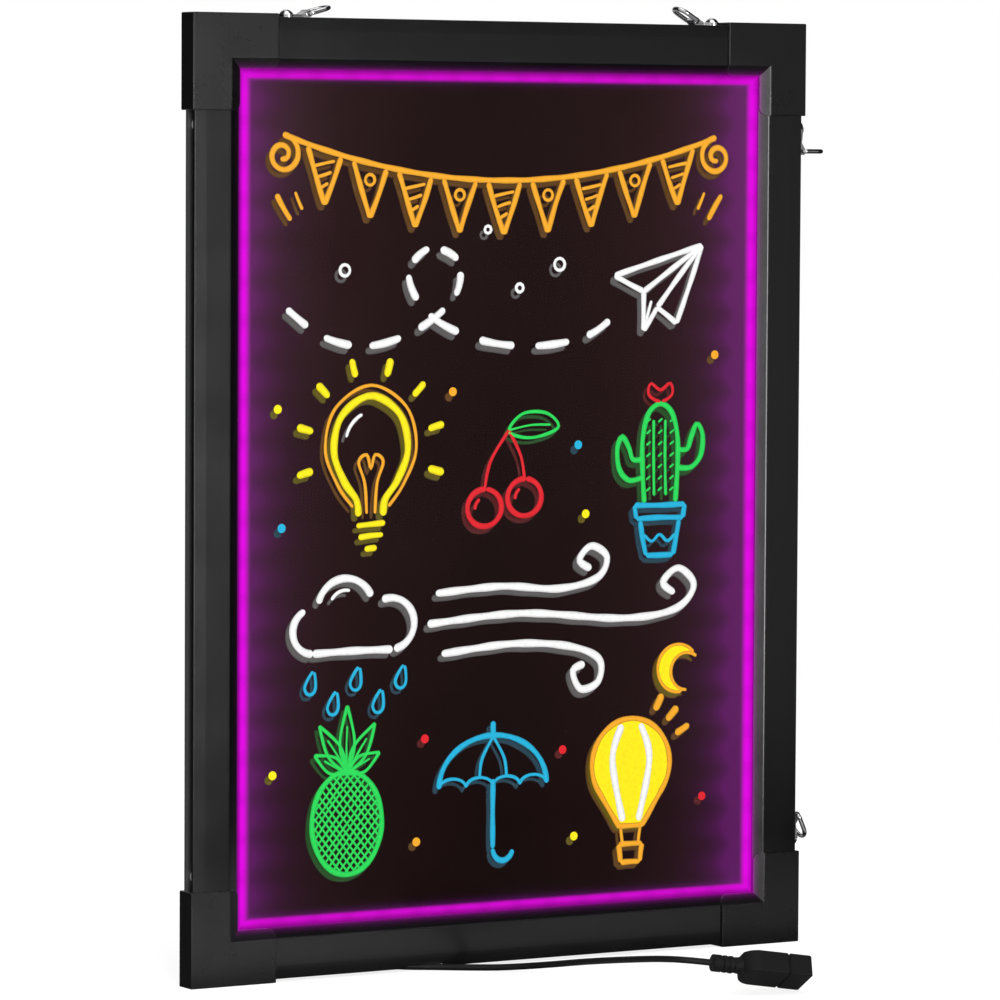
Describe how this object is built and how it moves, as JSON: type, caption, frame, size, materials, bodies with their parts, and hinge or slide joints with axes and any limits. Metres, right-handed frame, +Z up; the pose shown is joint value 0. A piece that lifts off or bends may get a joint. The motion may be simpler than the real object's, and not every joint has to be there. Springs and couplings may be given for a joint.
{
  "type": "led writing board",
  "caption": "Upright edge-lit writing board: black frame with corner caps, clear panel, glowing border, swinging hanging rings and a short lead with a capped USB plug.",
  "frame": {"origin": "on the surface the board stands on, at the centre of the frame and its hanging rings in plan, midway through the depth of the corner caps", "axes": "+Z up, the written face looks along -Y, +X to the viewer's right, where the two side rings are"},
  "size_m": [0.3166, 0.1462, 0.4129],
  "materials": {
    "rail_coat": "satin black coat on extruded aluminium",
    "cap_plastic": "moulded, fine matt",
    "key_steel": "zinc plated",
    "screw_steel": "plated",
    "clear_panel": "clear acrylic, polished",
    "black_sheet": "matt black",
    "light_band": "frosted, lit magenta",
    "strip_board": "white flexible circuit",
    "lead_wire": "enamelled copper",
    "cord_jacket": "soft black",
    "plug_plastic": "moulded black",
    "shell_steel": "nickel plated",
    "tongue_plastic": "white",
    "contact_gold": "gold plated",
    "hanger_chrome": "polished"
  },
  "bodies": {
    "board": {"rail_bottom": "rail_coat", "rail_left": "rail_coat", "rail_top": "rail_coat", "rail_right": "rail_coat", "corner_cap_bottom_left": "cap_plastic", "corner_cap_top_left": "cap_plastic", "corner_cap_top_right": "cap_plastic", "corner_cap_bottom_right": "cap_plastic", "corner_key_bottom_left": "key_steel", "corner_key_top_left": "key_steel", "corner_key_top_right": "key_steel", "corner_key_bottom_right": "key_steel", "key_screws": "screw_steel", "writing_panel": "clear_panel", "back_sheet": "black_sheet", "light_band_bottom": "light_band", "light_band_left": "light_band", "light_band_top": "light_band", "light_band_right": "light_band", "led_strip_bottom": "strip_board", "led_strip_left": "strip_board", "led_strip_top": "strip_board", "led_strip_right": "strip_board", "strip_links": "strip_board", "inner_leads": "lead_wire", "cable_gland": "cap_plastic", "power_cord": "cord_jacket", "plug_boot": "cord_jacket", "plug_body": "plug_plastic", "usb_shell": "shell_steel", "usb_tongue": "tongue_plastic", "usb_contacts": "contact_gold", "hanger_strap_top_left": "hanger_chrome", "hanger_strap_top_right": "hanger_chrome", "hanger_strap_right_upper": "hanger_chrome", "hanger_strap_right_lower": "hanger_chrome", "hanger_screws": "hanger_chrome"},
    "ring_top_left": {"hanger_ring_top_left": "hanger_chrome"},
    "ring_top_right": {"hanger_ring_top_right": "hanger_chrome"},
    "ring_right_upper": {"hanger_ring_right_upper": "hanger_chrome"},
    "ring_right_lower": {"hanger_ring_right_lower": "hanger_chrome"},
    "plug_cap": {"plug_cap": "plug_plastic"}
  },
  "joints": [
    {"name": "ring_swing_top_left", "type": "hinge", "parent": "board", "child": "ring_top_left", "pos_m": [-0.10229, -0.0002, 0.40668], "axis": [0, -1, 0], "range_deg": [-17, 149]},
    {"name": "ring_swing_top_right", "type": "hinge", "parent": "board", "child": "ring_top_right", "pos_m": [0.09051, -0.0002, 0.40668], "axis": [0, 1, 0], "range_deg": [-32, 134]},
    {"name": "ring_swing_right_upper", "type": "hinge", "parent": "board", "child": "ring_right_upper", "pos_m": [0.14679, -0.0002, 0.3504], "axis": [0, -1, 0], "range_deg": [-92, 74]},
    {"name": "ring_swing_right_lower", "type": "hinge", "parent": "board", "child": "ring_right_lower", "pos_m": [0.14679, -0.0002, 0.056], "axis": [0, 1, 0], "range_deg": [-158, 8]},
    {"name": "plug_cap_pull", "type": "slide", "parent": "board", "child": "plug_cap", "axis": [0.9683, -0.204, -0.1444], "range_m": [0, 0.013]}
  ]
}
